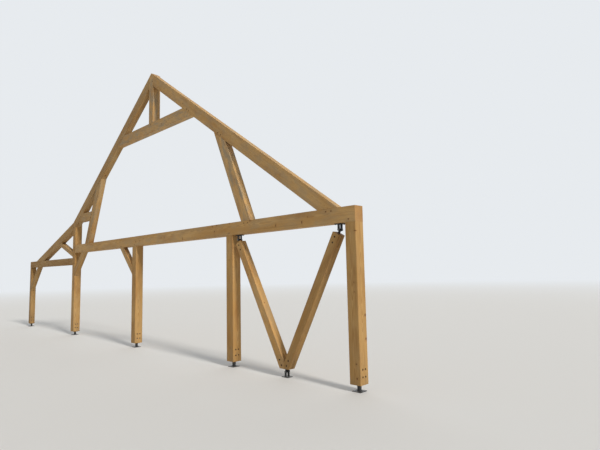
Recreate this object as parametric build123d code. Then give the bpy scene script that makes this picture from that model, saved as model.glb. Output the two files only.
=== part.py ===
from build123d import *
import math
import os

# Millimetres. The elevation is drawn with X along the truss from the ridge line and Z up from the
# floor. The solids stand with X zero halfway along the truss and Y from its front to its back.

# Timber sections
POST = 200
OUTER_POST = 160
PRINCIPAL_DEPTH = 250
PRINCIPAL_THICKNESS = 150
AISLE_TIE_DEPTH = 220
KNEE_DEPTH = 150
KNEE_THICKNESS = 120
AISLE_STRUT_DEPTH = 125
V_BRACE = 150

# Heights and slopes
POST_FOOT = 107
TIE_BOTTOM = 2565
ROOF_ANGLE = 34.6
COLLAR_SHARE_OF_RISE = 0.684
SHORT_TIE_SHARE_OF_RISE = 0.17
STRUT_ANGLE = 65.9
AISLE_TIE_BOTTOM = 2190
AISLE_ANGLE = 18
AISLE_STRUT_GAP = 35
AISLE_STRUT_ANGLE = 19.5

# Places along the truss, of the members' centres
CORNER_POST_X = 6250
SECOND_POST_X = 3210
THIRD_POST_X = -790
FOURTH_POST_X = -4850
OUTER_POST_X = -9040
RAFTER_FOOT_X = 6008
RIGHT_STRUT_X = 3720
LEFT_STRUT_X = -3850
KNEE_REACH = 620
OUTER_KNEE_REACH = 760

# Carpentry joints
FACE_TO_TENON = 50
TENON_THICKNESS = 50
TENON_LENGTH = 90
SHORT_TENON = 70
TENON_INSET = 60
MORTISE_SPARE = 3
PEG_RADIUS = 11
PEG_SIDES = 6
PEG_SPACING = 110
PEG_PROUD = 8
HOLE_SPARE = 0.2

# Post shoes
PLATE = 10
BASE_PLATE = 160
TOP_PLATE = 120
BLADE_THICKNESS = 8
BLADE_HEIGHT = 290
BLADE_WIDTH = 110
STEM = 50
ANCHOR_INSET = 26
ANCHOR_RADIUS = 7
DOWEL_RADIUS = 11
DOWEL_SIDES = 8
DOWEL_SPACING = 68
DOWEL_HEIGHT = 173
DOWEL_RISE = 110
DOWEL_RECESS = 18

# Pinned braces that stand in a V
V_CENTRE_OFFSET = -35
V_FOOT_PIN = 95
V_FOOT_CUT = 145
V_MITRE_GAP = 4
V_HEAD_INSET = 145
V_HEAD_PIN_DROP = 100
V_HEAD_GAP = 65
TONGUE_THICKNESS = 10
TONGUE_WIDTH = 44
TONGUE_REACH = 275
DOWEL_MARGIN = 50
BRACE_DOWEL_SPACING = 100
PIN_RADIUS = 10
PIN_HEAD_RADIUS = 17
PIN_HEAD_SIDES = 6
PIN_HEAD = 8
CHEEK = 10
EYE_CLIP = 13
FORK_GAP = 62
BRACKET_PLATE = 12
FOOT_PLATE = (150, 120)
HANGER_PLATE = (140, 120)
SLIDE = 0.5

# Sizes that follow from these
FRONT = -POST / 2
TENON_SPAN = (FRONT + FACE_TO_TENON, FRONT + FACE_TO_TENON + TENON_THICKNESS)
TIE_TOP = TIE_BOTTOM + PRINCIPAL_DEPTH
RISE = RAFTER_FOOT_X * math.tan(math.radians(ROOF_ANGLE))
RIDGE_HEIGHT = TIE_TOP + RISE
COLLAR_TOP = TIE_TOP + RISE * COLLAR_SHARE_OF_RISE
SHORT_TIE_BOTTOM = TIE_TOP + RISE * SHORT_TIE_SHARE_OF_RISE
AISLE_STRUT_BOTTOM = AISLE_TIE_BOTTOM + AISLE_TIE_DEPTH + AISLE_STRUT_GAP
V_CENTRE = (CORNER_POST_X + SECOND_POST_X) / 2 + V_CENTRE_OFFSET
V_HALF_SPREAD = (CORNER_POST_X - SECOND_POST_X - POST) / 2 - V_HEAD_INSET
HALFWAY = (CORNER_POST_X + POST / 2 + OUTER_POST_X - OUTER_POST / 2) / 2

parts = {}
edges = {}
backs = {}
pegs = {}
shoe_dowels = []
brace_dowels = []


def line(x, z, degrees):
    """Line of the elevation: a point and a direction. What a tenon enters is on its left."""
    angle = math.radians(degrees)
    return Vector(x, z), Vector(math.cos(angle), math.sin(angle))


def beside(edge, distance):
    """The parallel of a line, a distance to its left."""
    start, along = edge
    return start + Vector(-along.Y, along.X) * distance, along


def turned(edge):
    """The same line the other way round."""
    return edge[0], edge[1] * -1


def crossing(first, second):
    """The point where two lines meet."""
    start, along = first
    other, across = second
    reach = (other - start).cross(across).Z / along.cross(across).Z
    return start + along * reach


def place(x, y, z):
    """Position in the stored frame of a point of the elevation."""
    return Pos(x - HALFWAY, y, z)


def prism(corners, span):
    """Solid with these corners as its outline in X and Z, over a span in Y."""
    outline = Polyline(*[(corner.X - HALFWAY, span[0], corner.Y) for corner in corners], close=True)
    return extrude(make_face(outline), amount=span[1] - span[0], dir=(0, 1, 0))


def rod(spot, radius, span):
    """Cylinder along Y at a point of the elevation."""
    middle = (span[0] + span[1]) / 2
    return place(spot.X, middle, spot.Y) * Rot(90, 0, 0) * Cylinder(radius, span[1] - span[0])


def bar(spot, radius, sides, span):
    """Bar of several sides along Y at a point of the elevation."""
    section = place(spot.X, span[0], spot.Y) * Rot(90, 0, 0) * RegularPolygon(radius, sides)
    return extrude(section, amount=span[1] - span[0], dir=(0, 1, 0))


def cross_bar(x, y, z, radius, length):
    """Eight-sided bar along X, centred at a point."""
    section = place(x, y, z) * Rot(0, 90, 0) * RegularPolygon(radius, DOWEL_SIDES)
    return extrude(section, amount=length / 2, both=True)


def block(x, y, z):
    """Box from its spans in X, Y and Z."""
    sizes = [high - low for low, high in (x, y, z)]
    middle = [(low + high) / 2 for low, high in (x, y, z)]
    return place(*middle) * Box(*sizes)


def around(middle, width):
    """Span of a width around a middle."""
    return middle - width / 2, middle + width / 2


def timber(name, lower, depth, ends, thickness=PRINCIPAL_THICKNESS):
    """Straight timber flush with the front, above its lower edge, between two lines."""
    upper = beside(lower, depth)
    corners = [crossing(edge, end) for edge, end in zip((lower, lower, upper, upper), ends + ends[::-1])]
    edges[name] = lower, upper
    backs[name] = FRONT + thickness
    parts[name] = prism(corners, (FRONT, backs[name]))


def tenon_outline(sides, surface, length, inset):
    """Corners of a tenon in a surface: one side follows the timber and the other is cut square."""
    along = surface[1]
    inward = Vector(-along.Y, along.X)
    near = sorted([crossing(side, surface) for side in sides], key=lambda spot: spot.dot(along))
    slide = (crossing(sides[0], beside(surface, length)) - crossing(sides[0], surface)).dot(along)
    first = near[0] + along * inset[0]
    last = near[1] - along * inset[1]
    far_last = last + inward * length + along * min(slide, 0)
    far_first = first + inward * length + along * max(slide, 0)
    return first, last, far_last, far_first


def drive_peg(spot, name, other):
    """Split peg through a joint, and its holes."""
    span = FRONT - PEG_PROUD, backs[other] + PEG_PROUD
    hole = bar(spot, PEG_RADIUS + HOLE_SPARE, PEG_SIDES, span)
    parts[name] -= hole
    parts[other] -= hole
    pegs.setdefault("pegs_" + other, []).append(bar(spot, PEG_RADIUS, PEG_SIDES, span))


def join(name, other, surface, count, inset=(0, 0), length=TENON_LENGTH):
    """Tenon of one timber in another, with its pegs in a row along the surface."""
    outline = tenon_outline(edges[name], surface, length, inset)
    pocket = tenon_outline(edges[name], surface, length + MORTISE_SPARE, inset)
    parts[name] += prism(outline, TENON_SPAN)
    parts[other] -= prism(pocket, TENON_SPAN)
    middle = sum(outline, Vector()) / len(outline)
    for index in range(count):
        drive_peg(middle + surface[1] * PEG_SPACING * (index - (count - 1) / 2), name, other)


# Lines that the members meet at
tie_top = line(0, TIE_TOP, 180)
tie_bottom = line(0, TIE_BOTTOM, 0)
tie_end = line(CORNER_POST_X + POST / 2, 0, 90)
collar_top = line(0, COLLAR_TOP, 180)
king_right = line(POST / 2, 0, 90)
king_left = line(-POST / 2, 0, -90)
third_left = line(THIRD_POST_X - POST / 2, 0, -90)
fourth_right = line(FOURTH_POST_X + POST / 2, 0, 90)
fourth_left = line(FOURTH_POST_X - POST / 2, 0, -90)
outer_right = line(OUTER_POST_X + OUTER_POST / 2, 0, 90)
right_roof = line(0, RIDGE_HEIGHT, -ROOF_ANGLE)
left_roof = line(0, RIDGE_HEIGHT, ROOF_ANGLE)
right_underside = beside(right_roof, -PRINCIPAL_DEPTH)
left_underside = beside(left_roof, -PRINCIPAL_DEPTH)
eaves_break = crossing(left_roof, fourth_left)
aisle_roof = line(eaves_break.X, eaves_break.Y, AISLE_ANGLE)
aisle_underside = beside(aisle_roof, -PRINCIPAL_DEPTH)
aisle_tie_bottom = line(0, AISLE_TIE_BOTTOM, 0)
aisle_tie_top = line(0, AISLE_TIE_BOTTOM + AISLE_TIE_DEPTH, 180)
aisle_tie_end = line(OUTER_POST_X - OUTER_POST / 2, 0, 90)


def cut_posts():
    """Posts from their shoes up, and the king post with its head cut to the roof."""
    uprights = {
        "post_corner": (CORNER_POST_X, POST, tie_bottom),
        "post_second": (SECOND_POST_X, POST, tie_bottom),
        "post_third": (THIRD_POST_X, POST, tie_bottom),
        "post_fourth": (FOURTH_POST_X, POST, left_roof),
        "post_outer": (OUTER_POST_X, OUTER_POST, aisle_tie_bottom),
    }
    for name, (x, width, top) in uprights.items():
        timber(name, line(x + width / 2, 0, 90), width, (line(0, POST_FOOT, 0), top), width)
    timber("king_post", king_right, POST, (collar_top, line(0, RIDGE_HEIGHT, 0)), POST)
    for roof, side in ((right_roof, king_right), (left_roof, king_left)):
        corners = Vector(0, RIDGE_HEIGHT), crossing(roof, side), Vector(side[0].X, RIDGE_HEIGHT)
        parts["king_post"] -= prism(corners, (FRONT, -FRONT))


def cut_frame():
    """Beams, rafters and the timbers between them."""
    half_strut = PRINCIPAL_DEPTH / math.sin(math.radians(STRUT_ANGLE)) / 2
    right_strut = line(RIGHT_STRUT_X - half_strut, TIE_TOP, -STRUT_ANGLE)
    left_strut = line(LEFT_STRUT_X + half_strut, TIE_TOP, STRUT_ANGLE)
    collar_bottom = line(0, COLLAR_TOP - PRINCIPAL_DEPTH, 0)
    short_tie_bottom = line(0, SHORT_TIE_BOTTOM, 0)
    short_tie_ends = left_underside, beside(left_strut, PRINCIPAL_DEPTH)
    aisle_strut = line(fourth_left[0].X, AISLE_STRUT_BOTTOM, -AISLE_STRUT_ANGLE)
    timber("tie_beam", tie_bottom, PRINCIPAL_DEPTH, (fourth_right, tie_end), POST)
    timber("rafter_right", right_underside, PRINCIPAL_DEPTH, (king_right, tie_top))
    timber("rafter_left", left_underside, PRINCIPAL_DEPTH, (fourth_right, king_left))
    timber("collar_tie", collar_bottom, PRINCIPAL_DEPTH, (left_underside, right_underside))
    timber("strut_right", right_strut, PRINCIPAL_DEPTH, (right_underside, tie_top))
    timber("strut_left", left_strut, PRINCIPAL_DEPTH, (tie_top, left_underside))
    timber("short_tie", short_tie_bottom, PRINCIPAL_DEPTH, short_tie_ends)
    timber("aisle_tie", aisle_tie_bottom, AISLE_TIE_DEPTH, (aisle_tie_end, fourth_left))
    timber("aisle_rafter", aisle_underside, PRINCIPAL_DEPTH, (aisle_tie_top, fourth_left))
    timber("aisle_strut", aisle_strut, AISLE_STRUT_DEPTH, (aisle_underside, fourth_left))


def cut_joints():
    """Every mortise, tenon and peg of the main frame and the aisle."""
    left_strut_side = turned(edges["strut_left"][1])
    join("post_corner", "tie_beam", tie_bottom, 1, (0, TENON_INSET))
    join("post_second", "tie_beam", tie_bottom, 1)
    join("post_third", "tie_beam", tie_bottom, 1)
    join("post_outer", "aisle_tie", aisle_tie_bottom, 1, (TENON_INSET, 0))
    join("tie_beam", "post_fourth", fourth_right, 2)
    join("aisle_tie", "post_fourth", fourth_left, 2)
    join("rafter_right", "tie_beam", tie_top, 2)
    join("rafter_left", "post_fourth", fourth_right, 2, (0, TENON_INSET))
    join("aisle_rafter", "post_fourth", fourth_left, 1, (TENON_INSET, 0))
    join("aisle_rafter", "aisle_tie", aisle_tie_top, 2)
    join("king_post", "collar_tie", collar_top, 1)
    join("rafter_right", "king_post", king_right, 1, (0, TENON_INSET), SHORT_TENON)
    join("rafter_left", "king_post", king_left, 1, (TENON_INSET, 0), SHORT_TENON)
    join("collar_tie", "rafter_right", right_underside, 2)
    join("collar_tie", "rafter_left", left_underside, 2)
    join("strut_right", "tie_beam", tie_top, 2)
    join("strut_right", "rafter_right", right_underside, 2)
    join("strut_left", "tie_beam", tie_top, 2)
    join("strut_left", "rafter_left", left_underside, 2)
    join("short_tie", "strut_left", left_strut_side, 2)
    join("short_tie", "rafter_left", left_underside, 2)
    join("aisle_strut", "post_fourth", fourth_left, 1, length=SHORT_TENON)
    join("aisle_strut", "aisle_rafter", aisle_underside, 1, length=SHORT_TENON)


def knee_brace(name, post, beam, face, soffit, slope, reach):
    """Brace between a post's face and a beam's soffit, with a tenon at each end."""
    corner = crossing(face, soffit)
    centre = line(corner.X + math.copysign(reach, slope), corner.Y, slope)
    timber(name, beside(centre, -KNEE_DEPTH / 2), KNEE_DEPTH, (face, soffit), KNEE_THICKNESS)
    join(name, post, face, 1, length=SHORT_TENON)
    join(name, beam, soffit, 1, length=SHORT_TENON)


def post_shoe(name, post, x, width):
    """Base plate, stem, top plate and blade in one, and the dowels that hold the post on it."""
    y = FRONT + width / 2
    shoe = block(around(x, BASE_PLATE), around(y, BASE_PLATE), (0, PLATE))
    shoe += block(around(x, STEM), around(y, STEM), (PLATE, POST_FOOT - PLATE))
    shoe += block(around(x, TOP_PLATE), around(y, TOP_PLATE), (POST_FOOT - PLATE, POST_FOOT))
    shoe += block(around(x, BLADE_THICKNESS), around(y, BLADE_WIDTH), (POST_FOOT, POST_FOOT + BLADE_HEIGHT))
    for anchor in around(x, BASE_PLATE - 2 * ANCHOR_INSET):
        shoe -= place(anchor, y, PLATE / 2) * Cylinder(ANCHOR_RADIUS, PLATE)
    slot = around(x, BLADE_THICKNESS + 2 * SLIDE), around(y, BLADE_WIDTH + 2 * SLIDE)
    parts[post] -= block(*slot, (POST_FOOT, POST_FOOT + BLADE_HEIGHT + MORTISE_SPARE))
    for side in around(y, DOWEL_SPACING):
        for height in around(POST_FOOT + DOWEL_HEIGHT, DOWEL_RISE):
            hole = cross_bar(x, side, height, DOWEL_RADIUS + HOLE_SPARE, width)
            shoe -= hole
            parts[post] -= hole
            shoe_dowels.append(cross_bar(x, side, height, DOWEL_RADIUS, width - 2 * DOWEL_RECESS))
    parts[name] = shoe


def pin(name, spot):
    """Pin along Y with a head at each end, outside two cheeks."""
    reach = FORK_GAP / 2 + CHEEK
    solid = rod(spot, PIN_RADIUS, (-reach, reach))
    for inner in (-reach - PIN_HEAD, reach):
        solid += bar(spot, PIN_HEAD_RADIUS, PIN_HEAD_SIDES, (inner, inner + PIN_HEAD))
    parts[name] = solid


def eye(spot, towards, reach):
    """Corners of a flat bar that starts at a pin with its end clipped round it."""
    square = Vector(-towards.Y, towards.X)
    half = TONGUE_WIDTH / 2
    steps = (reach, half), (EYE_CLIP - half, half), (-half, half - EYE_CLIP)
    left = [spot + towards * along + square * across for along, across in steps]
    right = [spot + towards * along - square * across for along, across in steps]
    return left + right[::-1]


def bracket(name, spot, plate, plate_bottom, plate_top):
    """Plate with two flat bars that hold a pin, above or below it."""
    base = plate_top if spot.Y > plate_top else plate_bottom
    solid = block(around(spot.X, plate[0]), around(0, plate[1]), (plate_bottom, plate_top))
    outline = eye(spot, Vector(0, math.copysign(1, base - spot.Y)), abs(base - spot.Y))
    for inner in (-FORK_GAP / 2 - CHEEK, FORK_GAP / 2):
        solid += prism(outline, (inner, inner + CHEEK))
    solid -= rod(spot, PIN_RADIUS + HOLE_SPARE, around(0, plate[1]))
    parts[name] = solid


def tongue(name, brace, spot, towards, y):
    """Flat bar from a pin into the slotted end of a brace, and its two dowels."""
    square = Vector(-towards.Y, towards.X)
    plate = prism(eye(spot, towards, TONGUE_REACH), around(y, TONGUE_THICKNESS))
    plate -= rod(spot, PIN_RADIUS + HOLE_SPARE, around(y, TONGUE_THICKNESS))
    far = spot + towards * (TONGUE_REACH + MORTISE_SPARE)
    reach = square * V_BRACE
    slot = [spot - reach, far - reach, far + reach, spot + reach]
    parts[brace] -= prism(slot, around(y, TONGUE_THICKNESS + 2 * SLIDE))
    for back in (DOWEL_MARGIN, DOWEL_MARGIN + BRACE_DOWEL_SPACING):
        centre = spot + towards * (TONGUE_REACH - back)
        hole = bar(centre, DOWEL_RADIUS + HOLE_SPARE, DOWEL_SIDES, around(0, V_BRACE))
        plate -= hole
        parts[brace] -= hole
        length = V_BRACE - 2 * DOWEL_RECESS
        brace_dowels.append(bar(centre, DOWEL_RADIUS, DOWEL_SIDES, around(0, length)))
    parts[name] = plate


def v_brace(side, lean, offset):
    """One brace of the V, its tongues, and the hanger and pin at its head."""
    foot = Vector(V_CENTRE, V_FOOT_PIN)
    head = Vector(V_CENTRE + lean * V_HALF_SPREAD, TIE_BOTTOM - V_HEAD_PIN_DROP)
    up = (head - foot).normalized()
    outward = Vector(up.Y, -up.X) * lean
    lower = foot + outward * V_BRACE / 2, up
    upper = foot - outward * V_BRACE / 2, up
    top = head - up * V_HEAD_GAP, outward
    level = line(0, V_FOOT_CUT, 0)
    mitre = line(V_CENTRE + lean * V_MITRE_GAP / 2, 0, 90)
    corners = [
        crossing(lower, level),
        crossing(mitre, level),
        crossing(upper, mitre),
        crossing(upper, top),
        crossing(lower, top),
    ]
    name = "v_brace_" + side
    parts[name] = prism(corners, around(0, V_BRACE))
    tongue(name + "_foot_tongue", name, foot, up, offset)
    tongue(name + "_head_tongue", name, head, up * -1, 0)
    bracket("brace_hanger_" + side, head, HANGER_PLATE, TIE_BOTTOM - BRACKET_PLATE, TIE_BOTTOM)
    pin("brace_hanger_pin_" + side, head)


def v_foot():
    """Bracket on the floor whose one pin holds both braces of the V."""
    spot = Vector(V_CENTRE, V_FOOT_PIN)
    bracket("brace_foot", spot, FOOT_PLATE, 0, BRACKET_PLATE)
    pin("brace_foot_pin", spot)
    for anchor in around(V_CENTRE, FOOT_PLATE[0] - 2 * ANCHOR_INSET):
        parts["brace_foot"] -= place(anchor, 0, BRACKET_PLATE / 2) * Cylinder(ANCHOR_RADIUS, BRACKET_PLATE)


cut_posts()
cut_frame()
cut_joints()
knee_brace("knee_brace_third", "post_third", "tie_beam", third_left, tie_bottom, -45, KNEE_REACH)
knee_brace("knee_brace_fourth", "post_fourth", "tie_beam", fourth_right, tie_bottom, 45, KNEE_REACH)
knee_brace("knee_brace_outer", "post_outer", "aisle_tie", outer_right, aisle_tie_bottom, 45, OUTER_KNEE_REACH)
post_shoe("shoe_corner", "post_corner", CORNER_POST_X, POST)
post_shoe("shoe_second", "post_second", SECOND_POST_X, POST)
post_shoe("shoe_third", "post_third", THIRD_POST_X, POST)
post_shoe("shoe_fourth", "post_fourth", FOURTH_POST_X, POST)
post_shoe("shoe_outer", "post_outer", OUTER_POST_X, OUTER_POST)
v_brace("left", -1, -(TONGUE_THICKNESS + SLIDE) / 2)
v_brace("right", 1, (TONGUE_THICKNESS + SLIDE) / 2)
v_foot()
for node, solids in (pegs | {"shoe_dowels": shoe_dowels, "brace_dowels": brace_dowels}).items():
    parts[node] = Compound(children=solids)

os.makedirs("parts", exist_ok=True)
for node, shape in parts.items():
    export_step(shape, f"parts/{node}.step")
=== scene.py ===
import math
import random

import bmesh
import bpy
from mathutils import Matrix, Vector


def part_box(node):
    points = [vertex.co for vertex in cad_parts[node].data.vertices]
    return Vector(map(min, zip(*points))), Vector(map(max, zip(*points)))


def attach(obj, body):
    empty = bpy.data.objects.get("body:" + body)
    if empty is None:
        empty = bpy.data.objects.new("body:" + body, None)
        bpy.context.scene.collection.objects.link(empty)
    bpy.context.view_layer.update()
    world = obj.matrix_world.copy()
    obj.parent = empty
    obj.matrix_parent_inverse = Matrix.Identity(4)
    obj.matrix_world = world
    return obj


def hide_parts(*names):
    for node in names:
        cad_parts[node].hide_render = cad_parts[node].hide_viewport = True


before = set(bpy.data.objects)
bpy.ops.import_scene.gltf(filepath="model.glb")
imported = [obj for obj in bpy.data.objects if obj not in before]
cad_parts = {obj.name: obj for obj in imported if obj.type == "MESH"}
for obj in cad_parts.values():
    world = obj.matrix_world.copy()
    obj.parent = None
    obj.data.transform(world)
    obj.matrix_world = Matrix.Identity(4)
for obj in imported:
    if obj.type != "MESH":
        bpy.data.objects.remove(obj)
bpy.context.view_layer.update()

# The photograph's view: the eye, and the picture's right, down and forward directions
EYE = (12.047, -5.800, 1.804)
RIGHT = (0.71890, 0.69479, -0.02131)
DOWN = (-0.08520, 0.05764, -0.99469)
FORWARD = (-0.68988, 0.71690, 0.10064)
SENSOR = 36.0
LENS = 27.98

# Each timber with how light it is and how grey it is, partly its own tone and weathering, partly painted
# light and shade
TIMBERS = {
    "post_corner": (0.94, 0.12), "post_second": (0.97, 0.18), "post_third": (0.95, 0.14),
    "post_fourth": (0.94, 0.20), "post_outer": (0.82, 0.10), "king_post": (1.04, 0.78),
    "tie_beam": (1.02, 0.36), "rafter_right": (1.00, 0.42), "rafter_left": (0.90, 0.35),
    "collar_tie": (1.04, 0.74), "strut_right": (1.10, 0.80), "strut_left": (0.97, 0.50),
    "short_tie": (0.95, 0.48), "aisle_tie": (0.84, 0.12), "aisle_rafter": (0.88, 0.22),
    "aisle_strut": (0.95, 0.40), "knee_brace_third": (1.02, 0.42), "knee_brace_fourth": (0.95, 0.35),
    "knee_brace_outer": (0.86, 0.20), "v_brace_left": (1.08, 0.40), "v_brace_right": (0.90, 0.12),
}
SHOES = ["shoe_corner", "shoe_second", "shoe_third", "shoe_fourth", "shoe_outer"]

# First seeds of the timbers' and the pegs' random draws
TIMBER_SEED = 11
PEG_SEED = 101

# Eased edges, what counts as a long edge along the grain, and where shading turns sharp
ARRIS = 0.004
SHOULDER_EASE = 0.0009
STEEL_EASE = 0.0009
LONG_EDGE = 0.3
ALONG_GRAIN = 0.9999
SHARP_ANGLE = 35

# Drying splits: their places on broad and narrow faces, and how long, wide, deep and crooked they get
SPLIT_LEVELS = (-0.3, -0.05, 0.22)
SPLIT_MARGIN = 0.12
SPLIT_LENGTHS = (0.35, 1.5)
NARROW_OFFSET = 0.02
NARROW_MARGIN = 0.15
NARROW_LENGTHS = (0.4, 1.4)
NARROW_ROOM = 0.3
NARROW_WHOLE = 0.25
SPLIT_HALF_WIDTHS = (0.0007, 0.0019)
SPLIT_DEPTHS = (0.008, 0.02)
SPLIT_DRIFT = 0.006
SPLIT_WOBBLE = 0.0011
SPLIT_STEP = 0.08

# Pegs and steel dowels
PEG_HOLE = 0.0116
PEG_HOLE_DEPTH = 0.016
PEG_PROUD = 0.008
PEG_RADII = (0.0097, 0.0114)
PEG_HEADS = (0.003, 0.010)
PEG_TIPS = (0.003, 0.013)
PEG_LEAN = 0.12
PEG_CHAMFER = 0.0022
PEG_SIDES = 8
DOWEL_RADIUS = 0.011
DOWEL_HOLE = 0.0118
DOWEL_CHAMFER = 0.0015

# Post shoes
POST_FOOT = 0.107
PLATE = 0.010
TOP_PLATE_HALF = 0.060
STEM_HALF = 0.025
STEM_CORNER = 0.005
BLADE_HALF_THICKNESS = 0.004
BLADE_HALF_WIDTH = 0.055
BLADE_HEIGHT = 0.290
ANCHOR_INSET = 0.026
ANCHOR_RADIUS = 0.007
DRILL_REACH = 0.02
DRILL_SIDES = 20
SHOE_WELD = 0.0045

# Brackets, tongues and pins of the V braces, with turned profiles as pairs of height and radius
TONGUE_REACH = 0.275
TONGUE_HALF = 0.022
TONGUE_THICKNESS = 0.010
FORK_GAP = 0.062
CHEEK = 0.010
CHEEK_WELD = 0.0042
BRACKET_PLATE = 0.012
PIN_RADIUS = 0.010
PIN_WASHER = ((0, 0.0185), (0.0022, 0.0185), (0.0028, 0.0178))
WASHER_SIDES = 32
NUT_HEIGHT = 0.0125
NUT_HALF_FLATS = 0.0147
THREAD_START = 0.0138
THREAD_TURNS = 5
THREAD_PITCH = 0.0024
THREAD_ROOT = 0.0086
THREAD_CREST = 0.0098
THREAD_END = (0.0125, 0.008)
SCREWS = [(x, y) for x in (-0.052, 0.052) for y in (-0.043, 0.043)]
SCREW_WASHER = ((0, 0.0118), (0.0016, 0.0118), (0.002, 0.0112))
SCREW_HEAD = 0.0075
SCREW_HALF_FLATS = 0.0085

# Saw cuts for steel: spare room past its end and beside its faces, and how far they run out of the wood
SLOT_SPARE = 0.003
SLIDE = 0.0005
BLADE_RUNOUT = 0.01
TONGUE_RUNOUT = 0.1
TONGUE_CUT_HALF = 0.2

# Weld beads: steps to a ripple, how much it swells, how far a bead's middle stands off the steel, and how
# far a cheek's bead stops short of its sides
WELD_STEP = 0.0014
WELD_RIPPLE = 3.1
WELD_SWELL = 0.13
WELD_SIDES = 6
WELD_STANDOFF = 0.001
WELD_SHORT = 0.002


class Nodes:
    """A node tree, written as calls that return sockets."""

    def __init__(self, tree):
        self.tree = tree
        self.tree.nodes.clear()

    def add(self, kind, inputs=None, **settings):
        """A new node, with its settings, and its inputs linked or set."""
        node = self.tree.nodes.new(kind)
        for key, value in settings.items():
            setattr(node, key, value)
        for key, value in (inputs or {}).items():
            if isinstance(value, bpy.types.NodeSocket):
                self.tree.links.new(value, node.inputs[key])
            else:
                node.inputs[key].default_value = value
        return node

    def math(self, operation, *values):
        return self.add("ShaderNodeMath", dict(enumerate(values)), operation=operation).outputs[0]

    def plus(self, first, second):
        return self.math("ADD", first, second)

    def times(self, first, second):
        return self.math("MULTIPLY", first, second)

    def smooth(self, value, low, high, to_low=0.0, to_high=1.0):
        """A value's way from low to high, eased at both and spread over another range."""
        inputs = {"Value": value, "From Min": low, "From Max": high, "To Min": to_low, "To Max": to_high}
        return self.add("ShaderNodeMapRange", inputs, interpolation_type="SMOOTHSTEP").outputs[0]

    def vector(self, x, y, z):
        return self.add("ShaderNodeCombineXYZ", {0: x, 1: y, 2: z}).outputs[0]

    def split(self, vector):
        return self.add("ShaderNodeSeparateXYZ", {0: vector}).outputs

    def length(self, vector):
        return self.add("ShaderNodeVectorMath", {0: vector}, operation="LENGTH").outputs["Value"]

    def scaled(self, vector, scale, offset=(0, 0, 0)):
        """A vector times a scale, then moved by an offset."""
        inputs = {0: vector, 1: scale, 2: offset}
        return self.add("ShaderNodeVectorMath", inputs, operation="MULTIPLY_ADD").outputs[0]

    def noise(self, vector, scale=1.0, detail=2.0, rough=0.5, color=False):
        inputs = {"Vector": vector, "Scale": scale, "Detail": detail, "Roughness": rough}
        return self.add("ShaderNodeTexNoise", inputs).outputs[1 if color else 0]

    def mix(self, factor, first, second):
        return self.add("ShaderNodeMix", {0: factor, 6: first, 7: second}, data_type="RGBA").outputs[2]


class Shader(Nodes):
    """A material's nodes."""

    def __init__(self, name):
        self.material = bpy.data.materials.new(name)
        self.material.use_nodes = True
        super().__init__(self.material.node_tree)

    def surface(self, relief=None, **inputs):
        """The surface's shader, with its inputs by name, and relief as a height, a strength and a depth."""
        sockets = {key.replace("_", " "): value for key, value in inputs.items()}
        if relief:
            height, strength, depth = relief
            bump = self.add("ShaderNodeBump", {"Height": height, "Strength": strength, "Distance": depth})
            sockets["Normal"] = bump.outputs[0]
        return self.add("ShaderNodeBsdfPrincipled", sockets).outputs[0]

    def finish(self, surface):
        """The material, with a shader as its surface."""
        self.add("ShaderNodeOutputMaterial", {0: surface})
        return self.material


def srgb(red, green, blue):
    """Linear colour from 0 to 255 values."""
    channels = [c / 255 for c in (red, green, blue)]
    linear = [c / 12.92 if c <= 0.04045 else ((c + 0.055) / 1.055) ** 2.4 for c in channels]
    return (*linear, 1.0)


# Softwood's colours, the first three before a timber's lightness, which is partly painted light and shade
PALE_WOOD = (212, 172, 110)
WARM_WOOD = (190, 146, 82)
DARK_WOOD = (150, 103, 52)
# Grey of weathered wood, which also serves as painted cool shade
GREY_WOOD_AND_SHADE = srgb(150, 136, 112)
KNOT_DARK = srgb(92, 58, 32)
KNOT_PALE = srgb(130, 88, 52)
END_GRAIN = srgb(160, 116, 70)
SPLASH = srgb(128, 104, 72)
# Dark of iron stain round the dowels, and painted shade in their holes
IRON_STAIN_AND_HOLE_SHADE = srgb(44, 34, 26)

# Softwood's growth: where the pith lies and how far it wanders, rings to a metre, and knots round the pith
PITH_REACH = (0.05, 0.06)
PITH_WANDER = 0.09
RINGS = 210.0
END_RINGS = 95.0
KNOTS_ALONG = 14.0
KNOTS_AROUND = 1.5
KNOT_CHOICE = (0.925, 0.93)
KNOT_SIZES = (0.07, 0.21)

# Heights between which rain splash fades; how ragged and wide a dowel's iron stain and painted hole shade
# are
SPLASH_HEIGHTS = (0.75, 0.1)
DOWEL_DARK_RAGGED = 0.006
DOWEL_DARK_EDGES = (DOWEL_HOLE + 0.004, DOWEL_HOLE - 0.003)

# Colours of the oak and the steels
OAK_LIGHT = srgb(132, 96, 58)
OAK_DARK = srgb(84, 56, 31)
BLACK_PAINT = (0.009, 0.009, 0.010, 1)
WORN_METAL = (0.10, 0.095, 0.09, 1)
DUST = (0.11, 0.10, 0.085, 1)
# The zinc is far darker than plated steel, as painted shade of the dowel holes
SHADED_ZINC_PALE = (0.20, 0.205, 0.21, 1)
SHADED_ZINC_DARK = (0.11, 0.115, 0.12, 1)


def round_the_pith(wood, place, pith, seed):
    """How far a place lies from the pith, which wanders along the timber: sideways, up and straight."""
    _, y, z = wood.split(place)
    wander = wood.noise(wood.scaled(place, (0.55, 1.6, 1.6), (seed, 0, 0)), 1.0, 1.0, color=True)
    _, wander_y, wander_z = wood.split(wander)
    off_y = wood.plus(y, wood.math("MULTIPLY_ADD", wander_y, PITH_WANDER, -PITH_WANDER / 2 - pith[0]))
    off_z = wood.plus(z, wood.math("MULTIPLY_ADD", wander_z, PITH_WANDER, -PITH_WANDER / 2 - pith[1]))
    radius = wood.math("SQRT", wood.plus(wood.times(off_y, off_y), wood.times(off_z, off_z)))
    return off_y, off_z, radius


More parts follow.
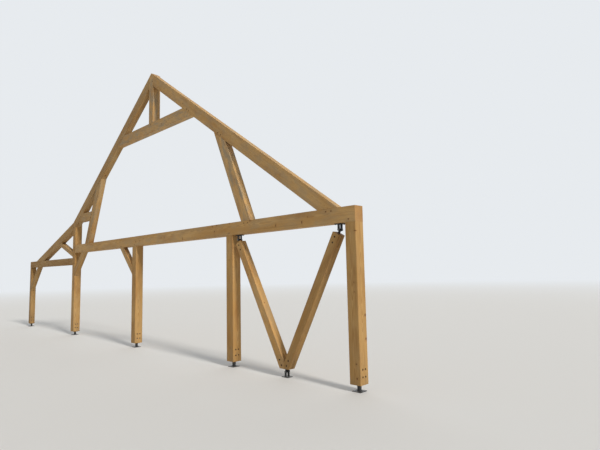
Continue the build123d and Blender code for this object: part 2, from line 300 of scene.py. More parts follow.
def knots(wood, x, off_y, off_z, radius, seed):
    """Knots run out from the pith, so their cells are laid out along and round it."""
    cell = wood.vector(
        wood.math("MULTIPLY_ADD", x, KNOTS_ALONG, seed * 3.7),
        wood.times(wood.math("DIVIDE", off_y, radius), KNOTS_AROUND),
        wood.times(wood.math("DIVIDE", off_z, radius), KNOTS_AROUND),
    )
    voronoi = wood.add("ShaderNodeTexVoronoi", {"Vector": cell, "Scale": 1.0})
    pick, size, shade = wood.split(voronoi.outputs["Color"])
    chosen = wood.smooth(pick, *KNOT_CHOICE)
    ratio = wood.math("DIVIDE", voronoi.outputs["Distance"], wood.smooth(size, 0.0, 1.0, *KNOT_SIZES))
    knot = wood.times(wood.smooth(ratio, 1.0, 0.8), chosen)
    rim = wood.times(wood.smooth(ratio, 1.45, 0.95), chosen)
    halo = wood.times(wood.smooth(ratio, 4.5, 0.8), chosen)
    return ratio, shade, knot, rim, halo


def growth_rings(wood, radius, halo, seed):
    """Late wood of the yearly rings, which bend round knots, and the broader rings that cut ends show."""
    wander = wood.noise(wood.vector(wood.times(radius, 60.0), seed, 0.0), 1.0, 1.0)
    rings = wood.plus(wood.times(radius, RINGS), wood.times(wander, 2.0))
    phase = wood.math("FRACT", wood.plus(rings, wood.times(halo, 1.5)))
    late = wood.times(wood.smooth(phase, 0.35, 0.9), wood.smooth(phase, 1.0, 0.93))
    years = wood.math("FRACT", wood.math("MULTIPLY_ADD", radius, END_RINGS, wood.times(wander, 1.4)))
    end_late = wood.times(wood.smooth(years, 0.25, 0.85, 0.0, 0.6), wood.smooth(years, 1.0, 0.92))
    return late, end_late


def iron_stains_and_hole_shade(wood, colour, place, fibre, dowels, dowel_axis):
    """The wood's colour, darkened round each steel dowel by iron stain and in its hole by painted shade."""
    across = [1 - share for share in dowel_axis]
    for spot in dowels:
        away = wood.scaled(place, across, [-value * share for value, share in zip(spot, across)])
        ragged = wood.math("MULTIPLY_ADD", fibre, -DOWEL_DARK_RAGGED, wood.length(away))
        darkened = wood.smooth(ragged, *DOWEL_DARK_EDGES)
        colour = wood.mix(wood.times(darkened, 0.9), colour, IRON_STAIN_AND_HOLE_SHADE)
    return colour


def softwood(name, pith, seed, tone_and_shade, grey_and_shade, dowels, dowel_axis):
    """Sawn spruce with its pith at a place of the section: rings, knots, fibres, end grain, stains, painted
    shade.
    """
    wood = Shader(name)
    coordinates = wood.add("ShaderNodeTexCoord")
    place = coordinates.outputs["Object"]
    off_y, off_z, radius = round_the_pith(wood, place, pith, seed)
    ratio, shade, knot, rim, halo = knots(wood, wood.split(place)[0], off_y, off_z, radius, seed)
    late, end_late = growth_rings(wood, radius, halo, seed)
    fibre = wood.noise(wood.scaled(place, (9, 420, 420), (seed, 0, 0)), 1.0, 2.0, 0.6)
    streak = wood.noise(wood.scaled(place, (1.3, 60, 60), (seed, 0, 0)), 1.0, 2.0, 0.5)
    blotch = wood.noise(wood.scaled(place, (0.9, 5, 5), (seed * 2, 0, 0)), 1.0, 3.0)
    stain = wood.noise(wood.scaled(place, (3.5, 9, 9), (0, seed, 0)), 1.0, 4.0, 0.6)
    mottle = wood.noise(wood.scaled(place, (1.6, 6, 6), (0, 0, seed * 3)), 1.0, 3.0, 0.6)
    saw = wood.noise(wood.scaled(place, (190, 7, 7), (0, 0, seed)), 1.0, 1.0)

    # A timber's lightness scales its colours: partly its own tone, partly painted light and shade
    pale, warm, dark = (srgb(*[c * tone_and_shade for c in shown]) for shown in (PALE_WOOD, WARM_WOOD, DARK_WOOD))
    colour = wood.mix(wood.smooth(blotch, 0.3, 0.72), pale, warm)
    colour = wood.mix(wood.times(late, 0.5), colour, dark)
    colour = wood.mix(wood.smooth(fibre, 0.25, 0.75, 0.0, 0.2), colour, dark)
    colour = wood.mix(wood.smooth(streak, 0.5, 0.8, 0.0, 0.4), colour, dark)
    colour = wood.mix(wood.times(halo, 0.3), colour, dark)
    # Grey patches, laid on more thickly where a timber's grey is partly painted cool shade
    colour = wood.mix(wood.smooth(stain, 0.38, 0.68, grey_and_shade * 0.3, grey_and_shade * 1.15), colour, GREY_WOOD_AND_SHADE)
    colour = wood.mix(wood.smooth(mottle, 0.48, 0.78, 0.0, 0.55), colour, dark)

    knot_rings = wood.math("FRACT", wood.times(ratio, 3.4))
    knot_colour = wood.mix(knot_rings, KNOT_DARK, KNOT_PALE)
    knot_colour = wood.mix(wood.times(shade, 0.5), knot_colour, dark)
    colour = wood.mix(wood.times(rim, 0.55), colour, KNOT_DARK)
    colour = wood.mix(knot, colour, knot_colour)

    end = wood.smooth(wood.math("ABSOLUTE", wood.split(coordinates.outputs["Normal"])[0]), 0.55, 0.75)
    colour = wood.mix(wood.times(end, 0.4), colour, END_GRAIN)
    colour = wood.mix(wood.times(end, end_late), colour, dark)
    height = wood.split(wood.add("ShaderNodeNewGeometry").outputs["Position"])[2]
    splash = wood.times(wood.smooth(height, *SPLASH_HEIGHTS), wood.smooth(stain, 0.35, 0.65, 0.05, 0.4))
    colour = wood.mix(splash, colour, SPLASH)
    # Iron stain round the dowels and painted shade in their holes
    colour = iron_stains_and_hole_shade(wood, colour, place, fibre, dowels, dowel_axis)

    relief = wood.plus(wood.times(fibre, 0.5), wood.times(late, 0.4))
    relief = wood.plus(relief, wood.times(saw, 0.35))
    relief = wood.math("SUBTRACT", relief, wood.times(rim, 0.6))
    rough = wood.smooth(fibre, 0.2, 0.8, 0.62, 0.8)
    sawn = wood.surface((relief, 0.3, 0.0008), Base_Color=colour, Roughness=rough, Specular_IOR_Level=0.25)
    return wood.finish(sawn)


def split_oak(name):
    """Split hardwood of the pegs, whose grain runs along Y, with its rings on the cut ends."""
    wood = Shader(name)
    coordinates = wood.add("ShaderNodeTexCoord")
    place = coordinates.outputs["Object"]
    fibre = wood.noise(wood.scaled(place, (260, 14, 260)), 1.0, 3.0, 0.6)
    patch = wood.noise(wood.scaled(place, (11, 3, 11)), 1.0, 1.0)
    bands = wood.noise(wood.scaled(place, (900, 5, 160)), 1.0, 2.0)
    colour = wood.mix(wood.smooth(fibre, 0.3, 0.7), OAK_LIGHT, OAK_DARK)
    colour = wood.mix(wood.smooth(patch, 0.4, 0.7, 0.0, 0.5), colour, OAK_DARK)
    end = wood.smooth(wood.math("ABSOLUTE", wood.split(coordinates.outputs["Normal"])[1]), 0.7, 0.85)
    colour = wood.mix(wood.times(end, wood.smooth(bands, 0.35, 0.65, 0.35, 0.9)), colour, OAK_DARK)
    split = wood.surface((fibre, 0.3, 0.0006), Base_Color=colour, Roughness=0.7, Specular_IOR_Level=0.3)
    return wood.finish(split)


def coated_steel(name):
    """Black painted steel, worn at its edges and dusty on top."""
    steel = Shader(name)
    place = steel.add("ShaderNodeTexCoord").outputs["Object"]
    geometry = steel.add("ShaderNodeNewGeometry")
    speckle = steel.noise(place, 130.0, 4.0, 0.65)
    patch = steel.noise(place, 14.0, 3.0)
    edge = steel.smooth(geometry.outputs["Pointiness"], 0.53, 0.60)
    worn = steel.times(edge, steel.smooth(speckle, 0.42, 0.6))
    upward = steel.smooth(steel.split(geometry.outputs["Normal"])[2], 0.5, 0.95)
    dusty = steel.times(upward, steel.smooth(patch, 0.3, 0.7, 0.1, 0.5))
    colour = steel.mix(steel.times(worn, 0.4), BLACK_PAINT, WORN_METAL)
    colour = steel.mix(dusty, colour, DUST)
    rough = steel.smooth(speckle, 0.3, 0.7, 0.42, 0.62)
    painted = steel.surface((speckle, 0.12, 0.0004), Base_Color=colour, Roughness=rough, Metallic=0.0)
    return steel.finish(painted)


def zinc_with_painted_shade(name):
    """Zinc-plated steel with a soft spangle, kept dark as painted shade so dowel ends read dark in their
    holes.
    """
    steel = Shader(name)
    place = steel.add("ShaderNodeTexCoord").outputs["Object"]
    voronoi = steel.add("ShaderNodeTexVoronoi", {"Vector": place, "Scale": 160.0})
    grain = steel.split(voronoi.outputs["Color"])[0]
    patch = steel.noise(place, 30.0, 3.0)
    colour = steel.mix(steel.times(grain, 0.7), SHADED_ZINC_PALE, SHADED_ZINC_DARK)
    rough = steel.smooth(patch, 0.3, 0.7, 0.36, 0.58)
    plated = steel.surface((patch, 0.08, 0.0003), Base_Color=colour, Roughness=rough, Metallic=0.9)
    return steel.finish(plated)


oak = split_oak("oak_pegs")
black_steel = coated_steel("black_steel")
pin_steel = zinc_with_painted_shade("pin_steel")


def linked(name, data):
    """A new object in the scene."""
    made = bpy.data.objects.new(name, data)
    bpy.context.scene.collection.objects.link(made)
    return made


def add_piece(name, made, material, replaced, matrix=None):
    """A piece of the truss from a bmesh, placed, and standing for the CAD nodes that it replaces."""
    mesh = bpy.data.meshes.new(name)
    made.to_mesh(mesh)
    made.free()
    mesh.set_sharp_from_angle(angle=math.radians(SHARP_ANGLE))
    piece = linked(name, mesh)
    if matrix is not None:
        piece.matrix_world = matrix
    mesh.materials.append(material)
    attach(piece, "root")
    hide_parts(*replaced)
    return piece


def centre(node):
    """Middle of a CAD node's box."""
    low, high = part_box(node)
    return (Vector(low) + Vector(high)) / 2


def hull(spots):
    """Corners of the outline round points of the elevation, anticlockwise."""
    ordered = sorted(set(spots))
    sides = []
    for points in (ordered, ordered[::-1]):
        side = []
        for point in points:
            while len(side) > 1:
                (ax, az), (bx, bz) = side[-2], side[-1]
                if (bx - ax) * (point[1] - az) - (bz - az) * (point[0] - ax) > 1e-7:
                    break
                side.pop()
            side.append(point)
        sides.append(side[:-1])
    return sides[0] + sides[1]


def timber_frame(node):
    """Outline of a timber in its own frame, X along the grain, with its half thickness and its place."""
    low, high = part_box(node)
    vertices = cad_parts[node].data.vertices
    corners = hull([(round(v.co.x, 5), round(v.co.z, 5)) for v in vertices if abs(v.co.y - low.y) < 1e-5])
    edges = [Vector(b) - Vector(a) for a, b in zip(corners, corners[1:] + corners[:1])]
    along = max(edges, key=lambda edge: edge.length).normalized()
    if along.x < -1e-6 or (abs(along.x) < 1e-6 and along.y < 0):
        along = -along
    across = Vector((-along.y, along.x))
    middle = sum((Vector(c) for c in corners), Vector((0, 0))) / len(corners)
    outline = [((Vector(c) - middle).dot(along), (Vector(c) - middle).dot(across)) for c in corners]
    axes = Matrix(((along.x, 0, across.x), (0, 1, 0), (along.y, 0, across.y)))
    matrix = Matrix.Translation((middle.x, (low.y + high.y) / 2, middle.y)) @ axes.to_4x4()
    return outline, (high.y - low.y) / 2, matrix


def islands(node):
    """Lowest and highest corners of each separate solid of a CAD node."""
    made = bmesh.new()
    made.from_mesh(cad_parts[node].data)
    bmesh.ops.remove_doubles(made, verts=made.verts, dist=1e-6)
    left = set(made.verts)
    found = []
    for first in made.verts:
        if first not in left:
            continue
        left.discard(first)
        reached = [first]
        for vertex in reached:
            for edge in vertex.link_edges:
                other = edge.other_vert(vertex)
                if other in left:
                    left.discard(other)
                    reached.append(other)
        low = Vector([min(vertex.co[axis] for vertex in reached) for axis in range(3)])
        high = Vector([max(vertex.co[axis] for vertex in reached) for axis in range(3)])
        found.append((low, high))
    made.free()
    return found


def cut(made, tool):
    """A closed solid with the shape of another taken out of it."""
    solids = []
    for source in (made, tool):
        bmesh.ops.recalc_face_normals(source, faces=source.faces)
        mesh = bpy.data.meshes.new("solid")
        source.to_mesh(mesh)
        source.free()
        solids.append(linked("solid", mesh))
    modifier = solids[0].modifiers.new("cut", "BOOLEAN")
    modifier.operation = "DIFFERENCE"
    modifier.solver = "MANIFOLD"
    modifier.object = solids[1]
    evaluated = solids[0].evaluated_get(bpy.context.evaluated_depsgraph_get())
    carved = bpy.data.meshes.new_from_object(evaluated)
    result = bmesh.new()
    result.from_mesh(carved)
    for solid in solids:
        mesh = solid.data
        bpy.data.objects.remove(solid)
        bpy.data.meshes.remove(mesh)
    bpy.data.meshes.remove(carved)
    return result


def merge(into, part, matrix=None):
    """Put one bmesh into another, moved by a matrix."""
    if matrix is not None:
        part.transform(matrix)
    mesh = bpy.data.meshes.new("part")
    part.to_mesh(mesh)
    part.free()
    into.from_mesh(mesh)
    bpy.data.meshes.remove(mesh)


def prism(outline, span, ease=0.0):
    """Closed solid with an outline in X and Z over a span in Y, with eased edges."""
    made = bmesh.new()
    front = [made.verts.new((x, span[0], z)) for x, z in outline]
    back = [made.verts.new((x, span[1], z)) for x, z in outline]
    made.faces.new(front)
    made.faces.new(back[::-1])
    for index, vertex in enumerate(front):
        after = (index + 1) % len(front)
        made.faces.new((vertex, back[index], back[after], front[after]))
    bmesh.ops.recalc_face_normals(made, faces=made.faces)
    if ease:
        bmesh.ops.bevel(made, geom=made.edges[:], offset=ease, segments=2, affect="EDGES")
    return made


def brick(low, high, ease=0.0):
    """Box between two corners."""
    outline = (low[0], low[2]), (high[0], low[2]), (high[0], high[2]), (low[0], high[2])
    return prism(outline, (low[1], high[1]), ease)


def bridge(made, first, second, smooth):
    """Four-sided faces between two rings of as many corners."""
    for index in range(len(first)):
        after = (index + 1) % len(first)
        made.faces.new((first[index], first[after], second[after], second[index])).smooth = smooth


def turned(profile, sides=24):
    """Closed body of revolution about Z from pairs of height and radius."""
    made = bmesh.new()
    rings = []
    for height, radius in profile:
        turns = [math.tau * step / sides for step in range(sides)]
        rings.append([made.verts.new((radius * math.cos(a), radius * math.sin(a), height)) for a in turns])
    made.faces.new(rings[0])
    made.faces.new(rings[-1])
    for lower, upper in zip(rings, rings[1:]):
        bridge(made, lower, upper, True)
    bmesh.ops.recalc_face_normals(made, faces=made.faces)
    return made


def facing(spot, axis):
    """Matrix that puts a turned body's foot at a spot with its height along an axis."""
    return Matrix.Translation(spot) @ Vector(axis).to_track_quat("Z", "Y").to_matrix().to_4x4()


def hexagon(height, half_flats):
    """Hexagonal head or nut standing on its base, with its corners turned off."""
    made = bmesh.new()
    corner = half_flats / math.cos(math.radians(30))
    bmesh.ops.create_cone(made, cap_ends=True, segments=6, radius1=corner, radius2=corner, depth=height)
    made.transform(Matrix.Translation((0, 0, height / 2)))
    bmesh.ops.bevel(made, geom=made.edges[:], offset=height * 0.09, segments=1, affect="EDGES")
    return made


def weld(into, corners, radius, closed):
    """Rippled weld bead along level straight runs between corners."""
    spots = []
    runs = zip(corners, corners[1:] + corners[:1]) if closed else zip(corners, corners[1:])
    for start, end in runs:
        count = max(2, round((end - start).length / WELD_STEP))
        spots += [start.lerp(end, index / count) for index in range(count)]
    if not closed:
        spots.append(corners[-1])
    rings = []
    for index, spot in enumerate(spots):
        before = spots[index - 1] if index or closed else spot
        after = spots[(index + 1) % len(spots)] if index + 1 < len(spots) or closed else spot
        along = (after - before).normalized()
        outward = Vector((along.y, -along.x, 0))
        swell = radius * (1 + WELD_SWELL * math.sin(math.tau * index / WELD_RIPPLE))
        ring = []
        for step in range(WELD_SIDES):
            turn = math.tau * step / WELD_SIDES
            lift = Vector((0, 0, math.sin(turn) * swell))
            ring.append(into.verts.new(spot + outward * math.cos(turn) * swell + lift))
        rings.append(ring)
    for first, second in zip(rings, rings[1:] + (rings[:1] if closed else [])):
        bridge(into, first, second, True)
    if not closed:
        into.faces.new(rings[0])
        into.faces.new(rings[-1])


def level_span(outline, level):
    """Where a line along the grain enters and leaves an outline."""
    spots = []
    for (ax, az), (bx, bz) in zip(outline, outline[1:] + outline[:1]):
        if (az - level) * (bz - level) < 0:
            spots.append(ax + (bx - ax) * (level - az) / (bz - az))
    return min(spots), max(spots)


def drying_split(tools, draw, span, surface):
    """Thin wedge that wanders along the grain, as a tool that cuts a split into one face."""
    proud = 0.001
    start, end = span
    count = max(6, round((end - start) / SPLIT_STEP))
    width = draw.uniform(*SPLIT_HALF_WIDTHS)
    depth = draw.uniform(*SPLIT_DEPTHS)
    drift = draw.uniform(-SPLIT_DRIFT, SPLIT_DRIFT)
    rings = []
    for index in range(1, count):
        share = index / count
        swell = math.sin(math.pi * share) ** 0.6
        across = drift * (share - 0.5) + draw.uniform(-SPLIT_WOBBLE, SPLIT_WOBBLE)
        half = width * swell * draw.uniform(0.75, 1.1)
        x = start + (end - start) * share
        section = (across - half, proud), (across + half, proud), (across, -depth * swell)
        rings.append([tools.verts.new(surface(x, sideways, height)) for sideways, height in section])
    tips = [tools.verts.new(surface(x, drift * lean, proud)) for x, lean in ((start, -0.5), (end, 0.5))]
    for first, second in zip(rings, rings[1:]):
        for index in range(3):
            after = (index + 1) % 3
            tools.faces.new((first[index], first[after], second[after]))
            tools.faces.new((first[index], second[after], second[index]))
    for tip, ring in zip(tips, (rings[0], rings[-1])):
        for index in range(3):
            tools.faces.new((tip, ring[index], ring[(index + 1) % 3]))


def split_faces(made, outline, half, seed):
    """Drying splits of a timber, one or two to a broad face and one at most to a narrow face."""
    draw = random.Random(seed * 7 + 1)
    levels = [z for _, z in outline]
    low, high = min(levels), max(levels)
    tools = bmesh.new()
    for side in (-1, 1):
        for level in draw.sample(SPLIT_LEVELS, draw.choice((1, 1, 2))):
            z = (low + high) / 2 + (high - low) * level
            start, end = level_span(outline, z)
            room = end - start - 2 * SPLIT_MARGIN
            length = min(room, draw.uniform(*SPLIT_LENGTHS))
            first = start + SPLIT_MARGIN + draw.uniform(0, room - length)

            def broad_face(x, across, out, side=side, z=z):
                return x, side * (half + out), z + across

            drying_split(tools, draw, (first, first + length), broad_face)
    for edge, side in ((low, -1), (high, 1)):
        ends = [x for x, z in outline if abs(z - edge) < 1e-4]
        room = max(ends) - min(ends) - 2 * NARROW_MARGIN
        if room < NARROW_ROOM or draw.random() < NARROW_WHOLE:
            continue
        length = min(room, draw.uniform(*NARROW_LENGTHS))
        first = min(ends) + NARROW_MARGIN + draw.uniform(0, room - length)
        middle = draw.uniform(-NARROW_OFFSET, NARROW_OFFSET)

        def narrow_face(x, across, out, side=side, edge=edge, middle=middle):
            return x, middle + across, edge + side * out

        drying_split(tools, draw, (first, first + length), narrow_face)
    return cut(made, tools)


def bored(tools, spot, axis, radius, reach):
    """Add a drill's shape that reaches both ways from a spot."""
    merge(tools, turned(((-reach, radius), (reach, radius)), DRILL_SIDES), facing(spot, axis))


def dowels_of(node, inverse):
    """Middles of the steel dowels of a post or V brace and their axis, in the timber's own frame."""
    groups = {"post": ("shoe_dowels", (0, 0, 1)), "v": ("brace_dowels", (0, 1, 0))}
    group, axis = groups.get(node.split("_")[0], (None, (0, 0, 1)))
    low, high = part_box(node)
    middles = [(first + last) / 2 for first, last in islands(group)] if group else []
    return [inverse @ middle for middle in middles if low.x < middle.x < high.x], axis


def joint_slots(node, inverse):
    """Saw cuts for the steel blade of a post or the steel tongues of a V brace."""
    slots = bmesh.new()
    if node.startswith("post"):
        foot = (inverse @ Vector((0, 0, POST_FOOT))).x
        reach = foot + BLADE_HEIGHT + SLOT_SPARE
        side, thickness = BLADE_HALF_WIDTH + SLIDE, BLADE_HALF_THICKNESS + SLIDE
        merge(slots, brick((foot - BLADE_RUNOUT, -side, -thickness), (reach, side, thickness)))
    if node.startswith("v_brace"):
        foot = inverse @ centre("brace_foot_pin")
        head = inverse @ centre(node.replace("v_brace", "brace_hanger_pin"))
        for name, here, there in (("foot", foot, head), ("head", head, foot)):
            y = (inverse @ centre(f"{node}_{name}_tongue")).y
            inward = math.copysign(1, there.x - here.x)
            mouth = here.x - inward * TONGUE_RUNOUT
            start, end = sorted((mouth, here.x + inward * (TONGUE_REACH + SLOT_SPARE)))
            thickness = TONGUE_THICKNESS / 2 + SLIDE
            near = start, y - thickness, -TONGUE_CUT_HALF
            merge(slots, brick(near, (end, y + thickness, TONGUE_CUT_HALF)))
    return slots


def joint_holes(node, half, inverse, dowels, dowel_axis):
    """Drills' shapes for a timber's peg holes and dowel holes."""
    holes = bmesh.new()
    if "pegs_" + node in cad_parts:
        for peg_low, peg_high in islands("pegs_" + node):
            spot = inverse @ ((peg_low + peg_high) / 2)
            for side in (-1, 1):
                bored(holes, (spot.x, side * half, spot.z), (0, 1, 0), PEG_HOLE, PEG_HOLE_DEPTH)
    for spot in dowels:
        bored(holes, spot, dowel_axis, DOWEL_HOLE, 2 * half)
    return holes


def dress_timber(node, seed):
    """A timber with eased arrises, drying splits and its joints, in place of its CAD node."""
    draw = random.Random(seed)
    outline, half, matrix = timber_frame(node)
    made = prism(outline, (-half, half))
    for size, steps, lengthwise in ((SHOULDER_EASE, 1, False), (ARRIS, 2, True)):
        edges = []
        for edge in made.edges:
            run = edge.verts[0].co - edge.verts[1].co
            if (abs(run.normalized().x) > ALONG_GRAIN and run.length > LONG_EDGE) == lengthwise:
                edges.append(edge)
        bmesh.ops.bevel(made, geom=edges, offset=size, segments=steps, affect="EDGES")
    made = split_faces(made, outline, half, seed)
    inverse = matrix.inverted()
    dowels, dowel_axis = dowels_of(node, inverse)
    for tools in (joint_slots(node, inverse), joint_holes(node, half, inverse, dowels, dowel_axis)):
        if tools.verts:
            made = cut(made, tools)
        else:
            tools.free()
    pith = [draw.uniform(-reach, reach) for reach in PITH_REACH]
    material = softwood("softwood_" + node, pith, draw.uniform(0, 40), *TIMBERS[node], dowels, dowel_axis)
    return add_piece("timber_" + node, made, material, [node], matrix)


def split_pegs(node, seed):
    """Pegs hewn to eight uneven sides, with trimmed heads and tapered tips."""
    draw = random.Random(seed)
    made = bmesh.new()
    for low, high in islands(node):
        spot = (low + high) / 2
        front, back = low.y + PEG_PROUD, high.y - PEG_PROUD
        proud, tip = draw.uniform(*PEG_HEADS), draw.uniform(*PEG_TIPS)
        turn = draw.uniform(0, math.tau)
        radii = [draw.uniform(*PEG_RADII) for _ in range(PEG_SIDES)]
        lean = draw.uniform(-PEG_LEAN, PEG_LEAN), draw.uniform(-PEG_LEAN, PEG_LEAN)

        # Each station's place along the peg, its share of the full radius, and whether it leans
        stations = (
            (front - proud, 0.8, 1), (front - proud + PEG_CHAMFER, 0.99, 1), (front + 0.02, 1.0, 0),
            (back - 0.01, 0.97, 0), (back + tip * 0.8, 0.86, 0), (back + tip, 0.7, 0),
        )
        rings = []
        for y, share, leaning in stations:
            ring = []
            for index, radius in enumerate(radii):
                angle = turn + math.tau * index / PEG_SIDES
                x, z = radius * share * math.cos(angle), radius * share * math.sin(angle)
                slope = leaning * (x * lean[0] + z * lean[1])
                ring.append(made.verts.new((spot.x + x, y + slope, spot.z + z)))
            rings.append(ring)
        made.faces.new(rings[0])
        made.faces.new(rings[-1])
        for first, second in zip(rings, rings[1:]):
            bridge(made, first, second, False)
    bmesh.ops.recalc_face_normals(made, faces=made.faces)
    return add_piece("split_" + node, made, oak, [node])


def steel_dowels(node, axis):
    """Round dowels with turned-off ends, each along one axis."""
    made = bmesh.new()
    for low, high in islands(node):
        reach = (high - low)[axis] / 2
        shank = reach - DOWEL_CHAMFER
        end = DOWEL_RADIUS - DOWEL_CHAMFER
        profile = (-reach, end), (-shank, DOWEL_RADIUS), (shank, DOWEL_RADIUS), (reach, end)
        direction = [0, 0, 0]
        direction[axis] = 1
        merge(made, turned(profile, DRILL_SIDES), facing((low + high) / 2, direction))
    return add_piece("steel_" + node, made, pin_steel, [node])


def rounded_square(half, corner):
    """Outline of a square tube with round corners."""
    spots = []
    for quarter in range(4):
        for step in range(4):
            angle = math.radians(90 * quarter + 30 * step)
            x, z = (half - corner) * (1, -1, -1, 1)[quarter], (half - corner) * (1, 1, -1, -1)[quarter]
            spots.append((x + corner * math.cos(angle), z + corner * math.sin(angle)))
    return spots


def anchor_plate(low, high, drilled):
    """Level plate between two corners, drilled near both ends where anchor bolts hold it down."""
    plate = brick(low, high, STEEL_EASE)
    if not drilled:
        return plate
    drills = bmesh.new()
    middle = (Vector(low) + Vector(high)) / 2
    reach = (high[0] - low[0]) / 2 - ANCHOR_INSET
    for side in (-1, 1):
        bored(drills, (middle.x + side * reach, middle.y, low[2]), (0, 0, 1), ANCHOR_RADIUS, DRILL_REACH)
    return cut(plate, drills)


def post_shoe(node):
    """Shoe under a post: drilled base plate, welded stem, top plate and the blade in the post."""
    spot = centre(node)
    low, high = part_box(node)
    made = anchor_plate((low.x, low.y, 0), (high.x, high.y, PLATE), True)
    top = POST_FOOT - PLATE
    upright = Matrix.Translation((spot.x, spot.y, 0)) @ Matrix.Rotation(math.radians(-90), 4, "X")
    merge(made, prism(rounded_square(STEM_HALF, STEM_CORNER), (-top, -PLATE)), upright)
    for half_x, half_y, bottom, height in (
        (TOP_PLATE_HALF, TOP_PLATE_HALF, top, PLATE),
        (BLADE_HALF_THICKNESS, BLADE_HALF_WIDTH, POST_FOOT, BLADE_HEIGHT),
    ):
        near = spot.x - half_x, spot.y - half_y, bottom
        far = spot.x + half_x, spot.y + half_y, bottom + height
        merge(made, brick(near, far, STEEL_EASE))
    reach = STEM_HALF + WELD_STANDOFF
    for z in (PLATE + WELD_STANDOFF, top - WELD_STANDOFF):
        square = ((-1, -1), (1, -1), (1, 1), (-1, 1))
        corners = [Vector((spot.x + reach * x, spot.y + reach * y, z)) for x, y in square]
        weld(made, corners, SHOE_WELD, True)
    return add_piece("steel_" + node, made, black_steel, [node])


def strap(spot, towards, reach):
    """Outline of a flat bar with a round end about a pin."""
    square = Vector((-towards.y, towards.x))
    far = spot + towards * reach
    outline = [far - square * TONGUE_HALF, far + square * TONGUE_HALF]
    for degrees in range(90, 271, 15):
        angle = math.radians(degrees)
        outline.append(spot + (towards * math.cos(angle) + square * math.sin(angle)) * TONGUE_HALF)
    return outline


def bracket(node, pin, screws):
    """Plate with two welded cheeks that hold a pin, and screws that hold it up or holes for anchors."""
    low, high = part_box(node)
    spot = centre(pin)
    hangs = spot.z < (low.z + high.z) / 2
    bottom, top = (high.z - BRACKET_PLATE, high.z) if hangs else (low.z, low.z + BRACKET_PLATE)
    seam = bottom if hangs else top
    made = anchor_plate((low.x, low.y, bottom), (high.x, high.y, top), not screws)
    outline = strap(Vector((spot.x, spot.z)), Vector((0, 1 if hangs else -1)), abs(seam - spot.z))
    for side in (-1, 1):
        inner, outer = side * FORK_GAP / 2, side * (FORK_GAP / 2 + CHEEK)
        merge(made, prism(outline, (min(inner, outer), max(inner, outer)), STEEL_EASE))
        for y in (inner - side * WELD_STANDOFF, outer + side * WELD_STANDOFF):
            ends = [Vector((spot.x + end * (TONGUE_HALF - WELD_SHORT), y, seam)) for end in (-1, 1)]
            weld(made, ends, CHEEK_WELD, False)
    for x, y in screws:
        seat = Vector((spot.x + x, y, bottom))
        under = seat - Vector((0, 0, SCREW_WASHER[-1][0]))
        merge(made, turned(SCREW_WASHER), facing(seat, (0, 0, -1)))
        merge(made, hexagon(SCREW_HEAD, SCREW_HALF_FLATS), facing(under, (0, 0, -1)))
    return add_piece("steel_" + node, made, black_steel, [node])


def bolt(node):
    """Pin of a bracket: hexagonal head, shank, washers, nut and a threaded end."""
    spot = centre(node)
    seat = FORK_GAP / 2 + CHEEK
    made = turned(((-seat, PIN_RADIUS), (seat, PIN_RADIUS)))
    made.transform(facing(spot, (0, 1, 0)))

    def outside(side, distance):
        """Outward along the pin, from a distance off a cheek's face."""
        return facing(spot + Vector((0, side * (seat + distance), 0)), (0, side, 0))

    for side in (-1, 1):
        merge(made, turned(PIN_WASHER, WASHER_SIDES), outside(side, 0))
        merge(made, hexagon(NUT_HEIGHT, NUT_HALF_FLATS), outside(side, PIN_WASHER[-1][0]))
    thread = []
    for turn in range(THREAD_TURNS):
        foot = turn * THREAD_PITCH
        thread += [(foot, THREAD_ROOT), (foot + THREAD_PITCH / 2, THREAD_CREST)]
    merge(made, turned(thread + [THREAD_END]), outside(1, THREAD_START))
    return add_piece("steel_" + node, made, pin_steel, [node])


def tongue(node, here, there):
    """Flat bar from a pin into a brace, with a round end and eased edges."""
    low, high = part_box(node)
    spot, other = centre(here), centre(there)
    start = Vector((spot.x, spot.z))
    towards = (Vector((other.x, other.z)) - start).normalized()
    made = prism(strap(start, towards, TONGUE_REACH), (low.y, high.y), STEEL_EASE)
    return add_piece("steel_" + node, made, black_steel, [node])


for index, name in enumerate(TIMBERS):
    dress_timber(name, index + TIMBER_SEED)
for index, name in enumerate(sorted(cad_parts)):
    if name.startswith("pegs_"):
        split_pegs(name, index + PEG_SEED)
steel_dowels("shoe_dowels", 0)
steel_dowels("brace_dowels", 1)
for name in SHOES:
    post_shoe(name)
bracket("brace_foot", "brace_foot_pin", [])
bolt("brace_foot_pin")
for side in ("left", "right"):
    hanger_pin = "brace_hanger_pin_" + side
    bracket("brace_hanger_" + side, hanger_pin, SCREWS)
    bolt(hanger_pin)
    tongue(f"v_brace_{side}_foot_tongue", "brace_foot_pin", hanger_pin)
    tongue(f"v_brace_{side}_head_tongue", hanger_pin, "brace_foot_pin")

# The studio's light and floor
BACKDROP = (0.80, 0.83, 0.86, 1)
AMBIENT = (0.95, 0.98, 1.0, 1)
AMBIENT_LEVEL = 0.35
FLOOR_COLOUR = (0.74, 0.73, 0.71, 1)
FLOOR_RADIUS = 120.0
FLOOR_FADE = (14.0, 70.0)


def place_camera():
    """Camera at the photograph's view."""
    data = bpy.data.cameras.new("camera")
    data.sensor_fit = "HORIZONTAL"
    data.sensor_width = SENSOR
    data.lens = LENS
    camera = linked("camera", data)
    right, down, forward = (Vector(v) for v in (RIGHT, DOWN, FORWARD))
    axes = Matrix((right, -down, -forward)).transposed()
    camera.matrix_world = Matrix.Translation(EYE) @ axes.to_4x4()
    bpy.context.scene.camera = camera


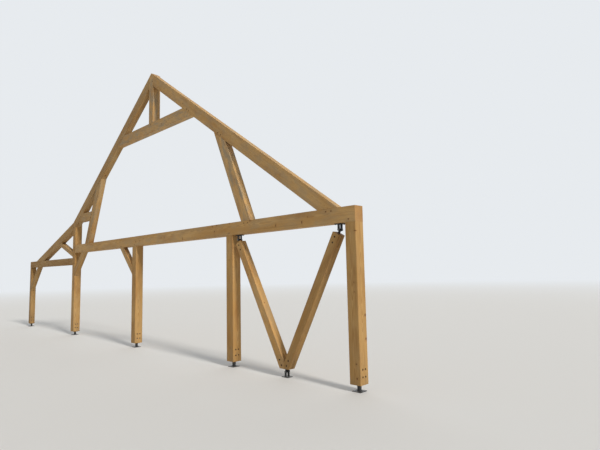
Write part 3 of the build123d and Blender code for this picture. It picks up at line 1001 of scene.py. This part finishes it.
def light(name, energy, spread, colour, towards):
    """Distant soft lamp in a direction seen from the truss."""
    data = bpy.data.lights.new(name, "SUN")
    data.energy = energy
    data.angle = math.radians(spread)
    data.color = colour
    lamp = linked(name, data)
    lamp.rotation_mode = "QUATERNION"
    lamp.rotation_quaternion = Vector(towards).to_track_quat("Z", "Y")


def studio_world():
    """Backdrop for what looks at it or mirrors it, and a weaker even light on everything."""
    world = bpy.data.worlds.new("studio")
    bpy.context.scene.world = world
    world.use_nodes = True
    sky = Nodes(world.node_tree)
    rays = sky.add("ShaderNodeLightPath").outputs
    seen = sky.math("MAXIMUM", rays["Is Camera Ray"], rays["Is Glossy Ray"])
    seen = sky.math("MAXIMUM", seen, rays["Is Transmission Ray"])
    ambient = sky.add("ShaderNodeBackground", {0: AMBIENT, 1: AMBIENT_LEVEL}).outputs[0]
    backdrop = sky.add("ShaderNodeBackground", {0: BACKDROP, 1: 1.0}).outputs[0]
    blend = sky.add("ShaderNodeMixShader", {0: seen, 1: ambient, 2: backdrop}).outputs[0]
    sky.add("ShaderNodeOutputWorld", {0: blend})


def studio_floor():
    """Plain pale floor, which fades to the backdrop's colour far out."""
    disc = bmesh.new()
    bmesh.ops.create_circle(disc, cap_ends=True, segments=96, radius=FLOOR_RADIUS)
    mesh = bpy.data.meshes.new("floor")
    disc.to_mesh(mesh)
    disc.free()
    plain = Shader("floor")
    matt = plain.surface(Base_Color=FLOOR_COLOUR, Roughness=0.9)
    distance = plain.length(plain.add("ShaderNodeTexCoord").outputs["Object"])
    camera_ray = plain.add("ShaderNodeLightPath").outputs["Is Camera Ray"]
    far = plain.times(plain.smooth(distance, *FLOOR_FADE), camera_ray)
    glow = plain.add("ShaderNodeEmission", {"Color": BACKDROP, "Strength": 1.0}).outputs[0]
    joined = plain.add("ShaderNodeMixShader", {0: far, 1: matt, 2: glow}).outputs[0]
    mesh.materials.append(plain.finish(joined))
    floor = linked("floor", mesh)


place_camera()
light("key", energy=2.5, spread=10, colour=(1.0, 0.96, 0.9), towards=(0.84, -0.10, 0.54))
light("fill", energy=0.8, spread=70, colour=(0.94, 0.97, 1.0), towards=(-0.5, 0.7, 0.4))
studio_world()
studio_floor()
bpy.context.scene.view_settings.view_transform = "Standard"
